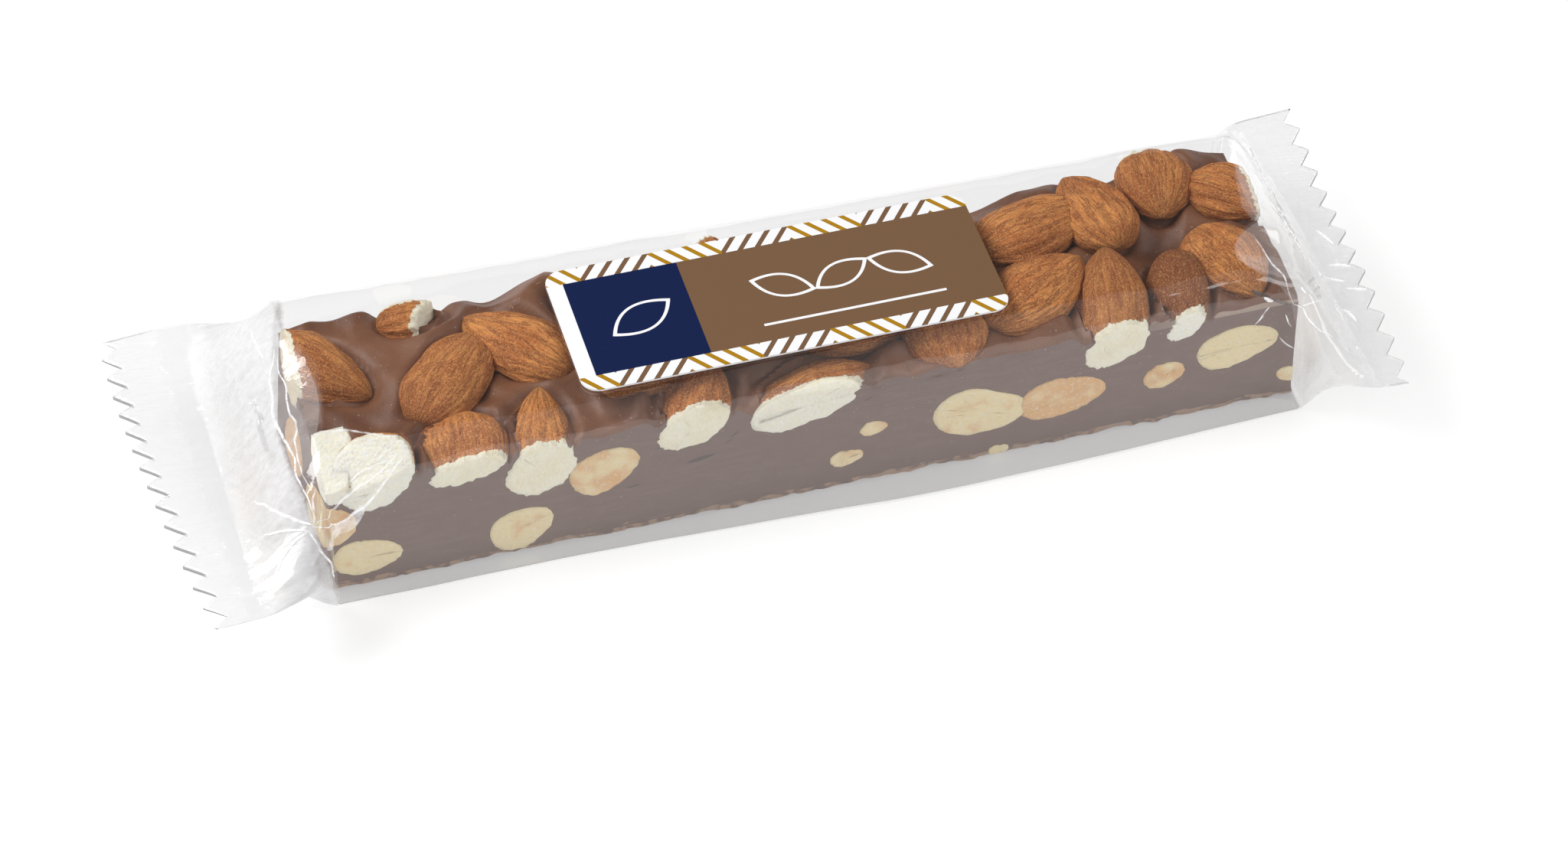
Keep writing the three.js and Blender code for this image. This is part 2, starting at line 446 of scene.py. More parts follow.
def cutAlmond(shape, planes, seed):
    # Cuts away what lies outside each plane and closes the cut with a slightly proud, crumbly face.
    used = []
    for point, normal in planes:
        point, normal = Vector(point), Vector(normal).normalized()
        everything = shape.verts[:] + shape.edges[:] + shape.faces[:]
        cut = bmesh.ops.bisect_plane(
            shape, geom=everything, plane_co=point, plane_no=normal, clear_outer=True, dist=1e-4)
        rim = [part for part in cut["geom_cut"] if isinstance(part, bmesh.types.BMEdge)]
        if rim:
            bmesh.ops.holes_fill(shape, edges=rim, sides=0)
            used.append((point, normal))

    def lies(vert, plane):
        return abs((vert.co - plane[0]).dot(plane[1])) < 1e-3

    for plane in used:
        caps = [face for face in shape.faces if all(lies(vert, plane) for vert in face.verts)]
        fan = bmesh.ops.poke(shape, faces=caps, offset=0)
        spokes = list({edge for vert in fan["verts"] for edge in vert.link_edges})
        bmesh.ops.subdivide_edges(shape, edges=spokes, cuts=almond["capCuts"])
        for face in shape.faces:
            if all(lies(vert, plane) for vert in face.verts):
                face.material_index = 1
    bare = shape.verts.layers.float.new("bare")
    for vert in shape.verts:
        away = min([abs((vert.co - point).dot(normal)) for point, normal in used] or [99])
        vert[bare] = clamp(1 - away / (2 * almond["torn"]))
    moves = {}
    for plane in used:
        cutVerts = [vert for vert in shape.verts if lies(vert, plane)]
        centre = sum((vert.co for vert in cutVerts), Vector()) / len(cutVerts)
        for vert in cutVerts:
            crumbs = grain(vert.co, 1.9, seed) + 0.8 * grain(vert.co, 0.8, seed)
            if any(face.material_index == 0 for face in vert.link_faces):
                move = (vert.co - centre).normalized() * almond["ragged"] * grain(vert.co, 1.0, seed + 2)
            else:
                move = plane[1] * (almond["proud"] + almond["crumb"] * crumbs)
            moves[vert] = moves.get(vert, Vector()) + move
    for vert, move in moves.items():
        vert.co += move


def joinShapes(shapes):
    joined = bmesh.new()
    for shape in shapes:
        mesh = bpy.data.meshes.new("part")
        shape.to_mesh(mesh)
        shape.free()
        joined.from_mesh(mesh)
        bpy.data.meshes.remove(mesh)
    return joined


def barPlanes():
    halfLength = bar["length"] / 2 + almond["flush"]
    halfWidth = bar["width"] / 2 + almond["flush"]
    return [
        ((0, -halfWidth, 0), (0, -1, 0)), ((0, halfWidth, 0), (0, 1, 0)),
        ((-halfLength, 0, bar["height"]), (-bar["height"], 0, bar["flare"])),
        ((halfLength, 0, 0), (1, 0, 0)),
    ]


def makeAlmonds(skin, flesh):
    shapes = []
    for number, (at, turn, size, apart) in enumerate(topAlmonds):
        seed = 2.3 * number + 1
        shape = almondShape(size, seed, skinned=True)
        placeAlmond(shape, at, turn)
        cutAlmond(shape, barPlanes() + apart.get("breaks", []), seed)
        # end marks the almonds cut at the bar's ends, whose flesh gets painted shade
        for name, usual in (("tone", almond["tone"]), ("pale", 0), ("end", 0)):
            markPoints(shape, name, apart.get(name, usual))
        shapes.append(shape)
    addPiece("almonds", joinShapes(shapes), [skin, flesh], "wrapper")


def makeRoastedAlmonds(roasted):
    halfLength, halfWidth = bar["length"] / 2, bar["width"] / 2
    depth = sunkAlmonds["depth"]
    specs = [cornerAlmond]
    for side, name in ((-1, "front"), (1, "back")):
        specs += [((x, side * (halfWidth - 0.5), z), (0, tilt, 90), (long, high, depth), tone)
                  for x, z, long, high, tilt, tone in sunkAlmonds[name]]
    for side, name in ((-1, "left"), (1, "right")):
        specs += [((side * (halfLength + 0.5), y, z), (90, tilt, 90), (long, high, depth), tone)
                  for y, z, long, high, tilt, tone in endAlmonds[name]]
    shapes = []
    for number, (at, turn, size, tone) in enumerate(specs):
        seed = 1.7 * number + 60
        shape = almondShape(size, seed, skinned=False)
        placeAlmond(shape, at, turn)
        cutAlmond(shape, barPlanes(), seed)
        markPoints(shape, "tone", tone)
        shapes.append(shape)
    addPiece("roastedAlmonds", joinShapes(shapes), [roasted, roasted], "wrapper")


almondColours = {
    "light": (0.84, 0.335, 0.084),
    "middle": (0.54, 0.165, 0.034),
    "groove": (0.23, 0.056, 0.012),
    "dust": (0.86, 0.46, 0.165),
    "dark": (0.17, 0.046, 0.015),
    "flesh": (0.96, 0.91, 0.74),
    "fleshShade": (0.89, 0.80, 0.57),
    "fleshPale": (0.97, 0.95, 0.88),
    # painted shade: the flesh of almonds cut at the bar's ends is darker, to hold down the light that falls
    # on those ends
    "fleshEndShade": (0.80, 0.69, 0.50),
    "roasted": (0.84, 0.50, 0.22),
    "roastedEdge": (0.62, 0.34, 0.13),
    "roastedPale": (0.95, 0.79, 0.47),
    "fleshPaintedGlow": 0.09,  # painted light: a glow that lightens the cut flesh, standing in for the light that a thick pale almond passes on
}


def skinMaterial():
    shader = Shader("almondSkin")
    place = shader.attribute("skinPlace", "Vector")
    spot = shader.place()
    lengthwise = shader.stretch(place, (0.12, 1, 1))
    swirl = shader.noise(place, 0.25, 2)
    x, y, z = shader.axes(lengthwise)
    bent = shader.node("ShaderNodeCombineXYZ", inputs={0: x, 1: y + swirl * 1.4, 2: z - swirl * 1.4})
    ridges = 1 - (shader.noise(bent, 0.62, 2, 0.55) - 0.5).size() * 4.5
    wrinkles = 1 - (shader.noise(bent, 1.7, 3, 0.6) - 0.5).size() * 4
    powder = shader.noise(spot, 3.4, 2, 0.7)
    blotch = shader.noise(spot, 0.16, 2, 0.5)
    fine = shader.noise(bent, 5, 3, 0.65)
    tone = shader.attribute("tone")
    mottle = shader.noise(spot, 1.8, 3, 0.65)
    lighter = (blotch * 0.55 + mottle * 0.45).ease(0.42, 0.58)
    grooves = ridges.ease(0.5, 1.0) * 0.5 + wrinkles.ease(0.6, 1.0) * 0.42
    dust = (powder.ease(0.50, 0.66) * 0.6 + fine.ease(0.45, 0.8) * 0.3) * (1 - tone * 0.25)
    torn = (shader.attribute("bare") + (shader.noise(spot, 1.3, 3, 0.6) - 0.5) * 0.7).ease(0.62, 0.68)
    pale = shader.blend(shader.noise(spot, 0.8, 3).ease(0.3, 0.6), almondColours["fleshShade"],
                        almondColours["flesh"])
    colour = shader.layers(
        almondColours["middle"], (lighter, almondColours["light"]), (tone, almondColours["dark"]),
        (grooves.least(1), almondColours["groove"]), (dust, almondColours["dust"]), (torn, pale))
    height = ridges * -0.5 + wrinkles * -0.32 + fine * 0.2 + powder * 0.16
    bump = shader.bump(height, 0.45, 0.9)
    return shader.finish(shader.surface(
        Base_Color=colour, Roughness=0.62 + powder * 0.2, Normal=bump, Specular_IOR_Level=0.35,
        Subsurface_Weight=0.06, Subsurface_Radius=(0.8, 0.35, 0.15), Subsurface_Scale=metresPerMm))


def fleshMaterial():
    shader = Shader("almondFlesh")
    place = shader.place()
    grains = shader.spots(place, 1.25)
    crumbs = shader.noise(place, 1.5, 4, 0.65)
    cloud = shader.noise(place, 0.25, 2)
    colour = shader.blend((cloud.ease(0.35, 0.65) * 0.5 + crumbs * 0.5 + 0.5 - grains * 0.5).least(1),
                          almondColours["fleshShade"], almondColours["flesh"])
    # painted shade: darker flesh on the almonds cut at the bar's ends
    colour = shader.blend(shader.attribute("end"), colour, almondColours["fleshEndShade"])
    pale = shader.blend(crumbs.ease(0.35, 0.65), almondColours["flesh"], almondColours["fleshPale"])
    colour = shader.blend(shader.attribute("pale"), colour, pale)
    bump = shader.bump(crumbs * 0.7 - grains * 0.5 + shader.noise(place, 5, 3) * 0.3, 0.42)
    # the cut flesh glows a little: painted light that lightens it
    return shader.finish(shader.surface(
        Base_Color=colour, Roughness=0.6, Normal=bump, Specular_IOR_Level=0.3,
        Emission_Color=colour, Emission_Strength=almondColours["fleshPaintedGlow"],
        Subsurface_Weight=0.25, Subsurface_Radius=(1, 0.8, 0.5), Subsurface_Scale=1.2 * metresPerMm))


def roastedMaterial():
    shader = Shader("roastedAlmond")
    place = shader.place()
    cloud = shader.noise(place, 0.2, 3, 0.55)
    grains = shader.noise(place, 1.6, 4, 0.65)
    fibres = shader.noise(shader.stretch(place, (0.6, 1, 1.2)), 1.6, 3, 0.6)
    browner = (shader.attribute("tone") + (cloud - 0.5) * 2.4).ease(0.15, 0.85)
    colour = shader.layers(
        almondColours["roastedPale"], (browner, almondColours["roasted"]),
        (fibres.ease(0.5, 0.8) * 0.3, almondColours["roastedEdge"]),
        (grains.ease(0.50, 0.7) * 0.45, almondColours["fleshPale"]))
    bump = shader.bump(fibres + grains, 0.16)
    return shader.finish(shader.surface(
        Base_Color=colour, Roughness=0.55, Normal=bump, Specular_IOR_Level=0.4,
        Subsurface_Weight=0.15, Subsurface_Radius=(1, 0.7, 0.4), Subsurface_Scale=metresPerMm))


# The nougat

nougat = {
    "columns": 270,  # faces along the bar
    "rows": 62,  # across its top
    "levels": 26,  # down its sides
    "swell": 1.25,  # height of the slow waves of its top
    "fold": 1.1,
    "ripple": 0.4,
    "edge": 2.0,  # how far from the front the top begins to round off
    "collar": 1.1,  # how far it rises round an almond
    "collarWidth": 2.6,
    "gap": 0.5,  # depth of the dark line where it meets an almond
    "printReach": 18,  # beyond this an almond has no effect on the top
    "sideRelief": 0.05,
    "raggedEdge": 0.55,
    "mounds": [  # x, y, height, radius: where it stands up above the rest
        (-82, 20, 2.2, 8), (-45, 17.5, 3.0, 7.5), (-38, 19, 2.6, 6), (50, 19.5, 0.8, 4.5), (80, 19, 1.2, 4),
        (36, 18.5, -3.2, 9), (66, 19.5, -2.0, 7), (-53, 20, -1.6, 4.5), (52, 2, -2.2, 7), (66, 0, -3.2, 8),
        (-40, -4, 1.6, 6), (-33, -16, 1.0, 6), (-75, -6, -0.8, 6), (-90, -2, 0.6, 6), (-88, -17, -3.2, 5),
        (72, -2, -1.8, 6), (20, -16, -1.2, 6), (36, -16, -1.0, 6),
    ],
    "colour": (0.226, 0.092, 0.042),
    "light": (0.290, 0.140, 0.080),
    "deep": (0.150, 0.053, 0.021),
    "speck": (0.62, 0.47, 0.30),
    "lipCrumbsAndHighlight": (0.55, 0.42, 0.33),  # partly light crumbs, partly a painted highlight where the edge catches the light, along the front top edge, near its right end
    "lipFrom": 23.2,  # the height where it begins
    "lipDepth": 0.30,  # and how far it reaches in
    "lipAlong": (55, 75),
    "cut": (0.195, 0.120, 0.098),  # of the sides
    "cutLight": (0.250, 0.165, 0.140),
    "flecks": [  # dark marks on the front: x, z, length, height, tilt
        (-22.5, 14.3, 5.6, 1.0, 8), (-16.2, 18.6, 2.4, 0.4, 38), (-17.4, 17.2, 1.6, 0.3, 30),
        (-30.2, 18.9, 1.8, 0.3, 20), (-35.0, 10.8, 3.2, 0.4, 6), (8.6, 20.6, 2.0, 0.3, 20),
    ],
    "fleck": (0.060, 0.045, 0.042),
    "crumb": (0.50, 0.32, 0.21),  # along the bottom edge
    "crumbHeight": 3.4,
}


def almondFootprints():
    prints = []
    for (x, y, z), turn, (length, width, thickness), _ in topAlmonds:
        low = 1 - 0.35 * clamp((z - bar["height"]) / thickness * 2)
        flatter = math.cos(math.radians(turn[1]))
        prints.append((x, y, math.radians(turn[0]), low * length * flatter / 2, low * width / 2))
    return prints


def topHeight(x, y, prints):
    height = bar["height"] + 0.3 + nougat["swell"] * grain((x, y, 0), 15, 4) * 1.5
    height += nougat["fold"] * (0.5 - 2 * abs(grain((x, y, 0), 11, 15)))
    height += nougat["ripple"] * grain((x, y, 0), 5, 8)
    overFront = clamp((-y - bar["width"] / 2 + nougat["edge"]) / nougat["edge"])
    height -= nougat["edge"] * 0.8 * (1 - math.sqrt(1 - overFront * overFront * 0.96))
    for moundX, moundY, rise, radius in nougat["mounds"]:
        height += rise * math.exp(-((x - moundX) ** 2 + (y - moundY) ** 2) / radius ** 2)
    for centreX, centreY, heading, halfLength, halfWidth in prints:
        dx, dy = x - centreX, y - centreY
        if max(abs(dx), abs(dy)) > nougat["printReach"]:
            continue
        ahead, beside = turned(dx, dy, heading)
        away = (math.hypot(ahead / halfLength, beside / halfWidth) - 1) * halfWidth
        if away > -1.5:
            height += nougat["collar"] * math.exp(-(max(0, away - 1.4) / nougat["collarWidth"]) ** 2)
            height -= (nougat["gap"] + nougat["collar"]) * math.exp(-(away / 0.9) ** 2)
        else:
            height -= 0.8
    return height


def makeNougat(material):
    shape = bmesh.new()
    bmesh.ops.create_grid(shape, x_segments=nougat["columns"], y_segments=nougat["rows"], size=0.5)
    bmesh.ops.scale(shape, verts=shape.verts, vec=(bar["length"], bar["width"], 1))
    prints = almondFootprints()
    top = shape.verts[:]
    for vert in top:
        vert.co.z = topHeight(vert.co.x, vert.co.y, prints)
    rim = [edge for edge in shape.edges if edge.is_boundary]
    for level in range(nougat["levels"]):
        made = bmesh.ops.extrude_edge_only(shape, edges=rim)["geom"]
        rim = [part for part in made if isinstance(part, bmesh.types.BMEdge) and part.is_boundary]
        left = nougat["levels"] - level
        for vert in (part for part in made if isinstance(part, bmesh.types.BMVert)):
            vert.co.z -= (vert.co.z - bar["rest"]) / left
    bmesh.ops.holes_fill(shape, edges=rim, sides=0)
    halfLength, halfWidth = bar["length"] / 2, bar["width"] / 2
    topSet = set(top)
    for vert in shape.verts:
        x, y, z = vert.co
        low = ease(2.2 - z, 0, 2)
        relief = nougat["sideRelief"] * grain((x, y, z), 6, 2)
        relief += low * nougat["raggedEdge"] * (grain((x, y, z * 0.5), 2.4, 3) + grain((x, y, z), 6, 5))
        if abs(y) > halfWidth - 0.01:
            vert.co.y += math.copysign(relief, y)
        if abs(x) > halfLength - 0.01:
            vert.co.x += math.copysign(relief, x)
        if x < 0:
            vert.co.x -= bar["flare"] * ease(-x, halfLength - 12, halfLength) * clamp(1 - z / bar["height"])
        if vert not in topSet and z < 1.2:
            vert.co.z += 0.9 * max(0, grain((x, y, 0), 8, 6) + 0.1) + 0.6 * max(0, grain((x, y, 0), 2.2, 9))
    bmesh.ops.recalc_face_normals(shape, faces=shape.faces)
    piece = addPiece("nougat", shape, [material], "wrapper")
    piece.data.set_sharp_from_angle(angle=math.radians(50))


def nougatMaterial():
    shader = Shader("chocolateNougat")
    place = shader.place()
    x, y, z = shader.axes(place)
    sides = (y.size() > bar["width"] / 2 - 0.25).most(x.size() > bar["length"] / 2 - 0.25)
    cloud = shader.noise(place, 0.09, 3, 0.55)
    smear = shader.noise(shader.stretch(place, (0.25, 0.25, 1.6)), 0.9, 4, 0.6)
    fine = shader.noise(place, 6, 2, 0.7)
    cut = shader.blend(smear.ease(0.4, 0.75) * 0.6, nougat["cut"], nougat["cutLight"])
    crumbs = shader.spots(place, 1.1)
    chosen = shader.noise(place, 0.6, 1)
    speck = (crumbs < 0.13) * chosen.ease(0.5, 0.62) * 0.7
    fleck = 0
    for centreX, centreZ, long, high, tilt in nougat["flecks"]:
        ahead, beside = turned(x - centreX, z - centreZ, math.radians(tilt))
        ahead = ahead / (long / 2)
        beside = beside / (high / 2) + (fine - 0.5) * 1.5
        fleck = (beside.size() + ahead * ahead < 1) + fleck
    # A lighter line along the front top edge: partly crumbs, partly a painted highlight.
    onLip = (z > nougat["lipFrom"]) * (y < nougat["lipDepth"] - bar["width"] / 2)
    lipCrumbsAndHighlight = onLip * x.ease(*nougat["lipAlong"])
    foot = (z < smear * nougat["crumbHeight"] - 0.3) * sides * chosen.ease(0.35, 0.6)
    colour = shader.layers(
        nougat["deep"], (cloud.ease(0.35, 0.65), nougat["colour"]),
        (smear.ease(0.45, 0.75) * 0.3, nougat["light"]), (sides, cut), (speck, nougat["speck"]),
        (fine.ease(0.66, 0.76) * 0.35, nougat["speck"]),
        (fleck.least(1) * (y < 0) * sides * 0.7, nougat["fleck"]),
        (lipCrumbsAndHighlight * (0.45 + 0.5 * fine), nougat["lipCrumbsAndHighlight"]), (foot * 0.75, nougat["crumb"]))
    bloom = shader.noise(place, 0.2, 3, 0.6)
    rough = 0.33 + bloom * 0.14 + sides * 0.2 + fine * 0.08
    height = fine * 0.35 + smear * (0.1 + sides * 0.25) + shader.noise(place, 1.6, 3, 0.6) * 0.5
    bump = shader.bump(height, 0.13)
    return shader.finish(shader.surface(
        Base_Color=colour, Roughness=rough, Normal=bump, Specular_IOR_Level=0.5,
        Subsurface_Weight=0.05, Subsurface_Radius=(0.8, 0.4, 0.25), Subsurface_Scale=metresPerMm))


# The film

film = {
    "frontGap": 3.7, "frontBulge": 2.8, "bulgeAt": 30, "bulgeReach": 85, "frontSlack": 0.3,
    "backGap": 2.2, "bendGap": 0.7, "bendRise": 2.6, "crownHalf": 16.2,
    "shoulderRise": 3.6, "shoulderLeft": 6.4, "shoulderRight": 1.2,
    "crown": bar["almondTop"] + 0.6,
    "tension": 0.3,  # how round the film's corners are
    "footTension": 0.03,
    "bendDip": 3.2, "dipAt": 14, "dipReach": 55,  # where no almond holds the front bend up
    "cornerSteps": 10,
    "around": 120,  # faces from the front fold over the top to the back one, and the same below
    "bodyRows": 96, "endRows": 26, "finRows": 12,
    "ripple": 0.28,  # slack in the film along the bar
    "pleat": 0.5,  # folds where it narrows to its ends
    "arcs": [  # side, how far inside the bar's end, middle, half width, slope
        (-1, 2.9, 0, 13, 0.9), (1, 3.0, -2, 19, 0.7), (1, 10, -13.5, 9, 0.45),
    ],
}
fins = {
    "height": 15.4, "halfWidth": 38, "thickness": 0.9, "sway": 0.7,
    # lean is where the notch lies between two tips
    "left": {"side": -1, "root": 106, "reach": 120.9, "slant": 0, "bow": 6.8,
             "pitch": 5.1, "depth": 3.1, "lean": 0.63},
    "right": {"side": 1, "root": 100, "reach": 110.4, "slant": 4.2, "bow": 0,
              "pitch": 5.9, "depth": 2.6, "lean": 0.57},
}
liftedAt = [(-83, 9), (-64, -6), (-54, 6), (-64, -17), (47, 10), (55, -8), (60, 12), (72, 14), (79, -5)]
lift = {"height": 0.9, "radius": 7}


def tubeCorners(x):
    # the tube's section at x, from the front of its base up and over to the back, as (y, z)
    half = bar["width"] / 2
    along = clamp(x / bar["length"] + 0.5)
    shoulder = half + mix(film["shoulderLeft"], film["shoulderRight"], along)
    bulge = ease(1 - abs(x - film["bulgeAt"]) / film["bulgeReach"])
    front = film["frontGap"] + film["frontBulge"] * bulge
    upFront = fins["height"] / (bar["height"] + film["bendRise"])
    dip = film["bendDip"] * ease(1 - abs(x - film["dipAt"]) / film["dipReach"])
    return [
        (-half - front, 0),
        (-half - mix(front, film["bendGap"], upFront) + film["frontSlack"], fins["height"]),
        (-half - film["bendGap"], bar["height"] + film["bendRise"] - dip),
        (-film["crownHalf"], film["crown"]),
        (film["crownHalf"], film["crown"]),
        (shoulder, bar["height"] + film["shoulderRise"]),
        ((shoulder + half + film["backGap"]) / 2, fins["height"]),
        (half + film["backGap"], 0),
    ]


def finCorners():
    top = fins["height"] + fins["thickness"] / 2
    bottom = fins["height"] - fins["thickness"] / 2
    fold = fins["halfWidth"] - fins["height"] * 0.8
    return [
        (-fold, bottom), (-fins["halfWidth"], fins["height"]), (-fold, top), (-film["crownHalf"], top),
        (film["crownHalf"], top), (fold, top), (fins["halfWidth"], fins["height"]), (fold, bottom),
    ]


def finAt(x):
    return fins["left"] if x < 0 else fins["right"]


def flatness(x):
    # 0 along the bar and 1 in the fins
    return clamp((abs(x) - bar["length"] / 2) / (finAt(x)["root"] - bar["length"] / 2))


def curvePoint(near, tensions, t):
    # a point between the second and the third of four points, on a smooth curve through them
    before, start, end, after = near
    leave = (end - before) * tensions[0]
    arrive = (after - start) * tensions[1]
    return (start * (2 * t ** 3 - 3 * t ** 2 + 1) + leave * (t ** 3 - 2 * t ** 2 + t)
            + end * (3 * t ** 2 - 2 * t ** 3) + arrive * (t ** 3 - t ** 2))


def sectionAt(x):
    # The blended section as two runs of points: over the top from front to back, and back below.
    flat = flatness(x)
    outward = math.sqrt(1 - (1 - flat) ** 2)
    downward = mix(flat, ease(flat), 0.5)
    corners = [Vector((mix(a[0], b[0], outward), mix(a[1], b[1], downward)))
               for a, b in zip(tubeCorners(x), finCorners())]
    steps = film["cornerSteps"]

    def side(index):
        near = [corners[(index + k) % 8] for k in (-1, 0, 1, 2)]
        tensions = [film["footTension" if (index + k) % 8 in (0, 7) else "tension"] for k in (0, 1)]
        for step in range(steps):
            yield curvePoint(near, tensions, step / steps)

    over = [point for index in (1, 2, 3, 4, 5) for point in side(index)] + [corners[6]]
    under = [point for index in (6, 7, 0) for point in side(index)] + [corners[1]]
    return over, under


def spread(points, shares):
    # the points at those shares of the run's length
    lengths = [0]
    for a, b in zip(points, points[1:]):
        lengths.append(lengths[-1] + (b - a).length)
    found = []
    index = 0
    for share in shares:
        goal = share * lengths[-1]
        while index < len(points) - 2 and lengths[index + 1] < goal:
            index += 1
        span = lengths[index + 1] - lengths[index] or 1
        found.append(points[index].lerp(points[index + 1], clamp((goal - lengths[index]) / span)))
    return found


def zigzag(fin):
    # the corners of the fin's cut edge as (share across from the front, reach)
    corners = []
    tip = fins["halfWidth"] + 6
    while tip > -fins["halfWidth"] - 6:
        for y, cut in ((tip, 0), (tip - fin["pitch"] * fin["lean"], fin["depth"])):
            fromBack = (fins["halfWidth"] - y) / (2 * fins["halfWidth"])
            reach = fin["reach"] - fin["slant"] * fromBack - fin["bow"] * fromBack ** 2
            corners.append((1 - fromBack, reach - cut))
        tip -= fin["pitch"]
    return corners[::-1]


def lineAt(corners, share):
    for (a, low), (b, high) in zip(corners, corners[1:]):
        if a <= share <= b:
            return mix(low, high, (share - a) / (b - a))
    return corners[-1][1]


def toothShares(corners, count):
    # shares across the fin, so that each corner of the zigzag has a point of its own
    inside = [share for share, reach in corners if 0.002 < share < 0.998]
    keys = [(0, 0.0)] + [(round(share * count), share) for share in inside] + [(count, 1.0)]
    shares = []
    for (a, low), (b, high) in zip(keys, keys[1:]):
        shares += [mix(low, high, (k - a) / (b - a)) for k in range(a, b)]
    return shares + [1.0]


def filmStations():
    # (x, how far out along the fin) from the left tips to the right ones. Past 1 is the cut edge.
    halfBar = bar["length"] / 2
    outward = [k / film["finRows"] for k in range(1, film["finRows"] + 1)] + [1.1]
    left, right = fins["left"]["root"], fins["right"]["root"]
    rows = [(-left, out) for out in reversed(outward)]
    rows += [(mix(-left, -halfBar, k / film["endRows"]), 0) for k in range(film["endRows"])]
    rows += [(mix(-halfBar, halfBar, k / film["bodyRows"]), 0) for k in range(film["bodyRows"])]
    rows += [(mix(halfBar, right, k / film["endRows"]), 0) for k in range(film["endRows"] + 1)]
    return rows + [(right, out) for out in outward]


def liftAt(x, y):
    most = 0
    for almondX, almondY in liftedAt:
        away = math.hypot(x - almondX, y - almondY) / lift["radius"]
        most = max(most, lift["height"] * math.exp(-away * away))
    return most


def sagAt(x, y):
    # Near its ends the top bends down early, inside an arc.
    sag = 0
    for side, reach, middle, half, slope in film["arcs"]:
        away = (y - middle) / half
        if side * x > 0 and abs(away) < 1:
            edge = bar["length"] / 2 - reach * (1 - away * away)
            sag = max(sag, slope * max(0, min(abs(x), bar["length"] / 2) - edge))
    return sag


def slack(x, share, over):
    # how far the film stands out of its plain form, outward along the bar and up in the fins
    flat = flatness(x)
    arc = share * 2 * fins["halfWidth"] * (1 if over else -1)
    onFront = ease(0.14 - share, 0, 0.04) if over else 0
    soft = grain((x * 0.7, arc, 0), 16, 2) + 0.3 * grain((x, arc * 0.5, 0), 7, 5)
    soft *= film["ripple"] * (1 - 0.75 * onFront)
    fold = 1 - 2.4 * abs(grain((x * 0.16, arc, 3), 3.4, 7))
    fine = 1 - 2.4 * abs(grain((x * 0.22, arc, 3), 1.7, 9))
    nearEnd = ease(abs(x), bar["length"] / 2 - 1, bar["length"] / 2 + 5)
    strength = nearEnd * mix(1, 0.5, ease(flat, 0.6, 1))
    return soft * (1 - 0.5 * flat) + strength * film["pleat"] * (0.8 * fold + 0.5 * fine - 0.4)


def filmRing(x, out, count):
    fin = finAt(x)
    flat = flatness(x)
    cutEdge = zigzag(fin)
    teeth = toothShares(cutEdge, count)
    shares = [mix(k / count, teeth[k], flat) for k in range(count + 1)]
    over, under = sectionAt(x)
    points = []
    below = [1 - share for share in reversed(shares)]
    for run, isOver in ((spread(over, shares), True), (spread(under, below), False)):
        for k, point in enumerate(run[:-1]):
            share = shares[k] if isOver else shares[count - k]
            y, z = point
            z = clamp(z, 0, film["crown"])
            alongX = mix(x, fin["side"] * lineAt(cutEdge, share), min(out, 1)) if out else x
            extra = mix(slack(alongX, share, isOver), slack(alongX, share, True), ease(flat, 0.4, 1))
            extra *= mix(1, 0.3, ease(out, 0.2, 0.6))
            if out > 1:
                z = fins["height"]
            if flat >= 1:
                z += extra
            else:
                outY = clamp((abs(y) - bar["width"] / 2 + 1) / 3)
                lean = math.copysign(outY, y)
                rise = 1 if isOver else flat
                z += extra * rise * (1 - outY * (1 - flat))
                y += extra * lean * (1 - flat) * 0.8
            z += flat * fins["sway"] * math.sin(y / 9 + alongX / 7)
            if z > bar["height"]:
                z += (1 - flat) * (liftAt(x, y) - sagAt(x, y))
            points.append((Vector((alongX, y, max(z, 0.02))), out))
    return points


def makeFilm(material):
    count = film["around"]
    rows = filmStations()
    shape = bmesh.new()
    bmesh.ops.create_grid(shape, x_segments=len(rows) - 1, y_segments=2 * count, size=1)
    rings = [filmRing(x, out, count) for x, out in rows]
    outShare = shape.verts.layers.float.new("outShare")
    for vert in shape.verts:
        row = round((vert.co.x + 1) / 2 * (len(rows) - 1))
        step = round((vert.co.y + 1) / 2 * 2 * count) % (2 * count)
        vert.co, vert[outShare] = rings[row][step]
    bmesh.ops.remove_doubles(shape, verts=shape.verts, dist=0.004)
    bmesh.ops.recalc_face_normals(shape, faces=shape.faces)
    return addPiece("film", shape, [material], "wrapper")


filmLook = {
    "clear": (0.966, 0.966, 0.968),
    "mirror": (0.98, 0.98, 0.985),
    "gloss": 0.08,  # what it reflects when seen straight on
    "roughness": 0.06,
    "milk": 0.009,  # how cloudy it is along the bar
    "endMilk": 0.12,  # where it lies over the bar's ends
    "finMilk": 0.10,
    "sealMilk": 0.08,
    "footShadow": 0.43,  # painted shadow: how much grey cloud the layer under the bar has, standing in for the bar's shadow on the table
    "milkColour": (0.955, 0.955, 0.96),
    # painted shadow: the grey of that layer
    "footShadowColour": (0.42, 0.42, 0.42),
    "cutEdge": (0.30, 0.30, 0.31),  # painted shadow: the grey line on the front side of each tooth, where the tooth's shadow falls
    "cutEdgeShadow": 0.65,
    # painted shade: the cloud where the film is folded in is greyer than elsewhere, to darken the end that
    # faces the lamp
    "gussetShadeColour": (0.78, 0.78, 0.79),
    "gusset": 0.55,  # how cloudy it is where it is folded in, beyond the bar's ends
    "gussetFrom": 94.8,  # how far from the middle of the bar that begins
    "gussetMiddle": -9,  # at this y. It begins earlier beside it, along a curve
    "gussetCurve": 0.0055,
    "gussetTop": 19,  # and earlier below this height, by gussetSlope
    "gussetSlope": 0.2,
    "gussetLess": 0.8,  # how much less of it there is at the right end
    "finFromLeft": (98, 106),  # where each fin's cloudiness sets in
    "finFromRight": (94, 101),
    "ribs": 7.0,  # of the seal, radians in a millimetre
}


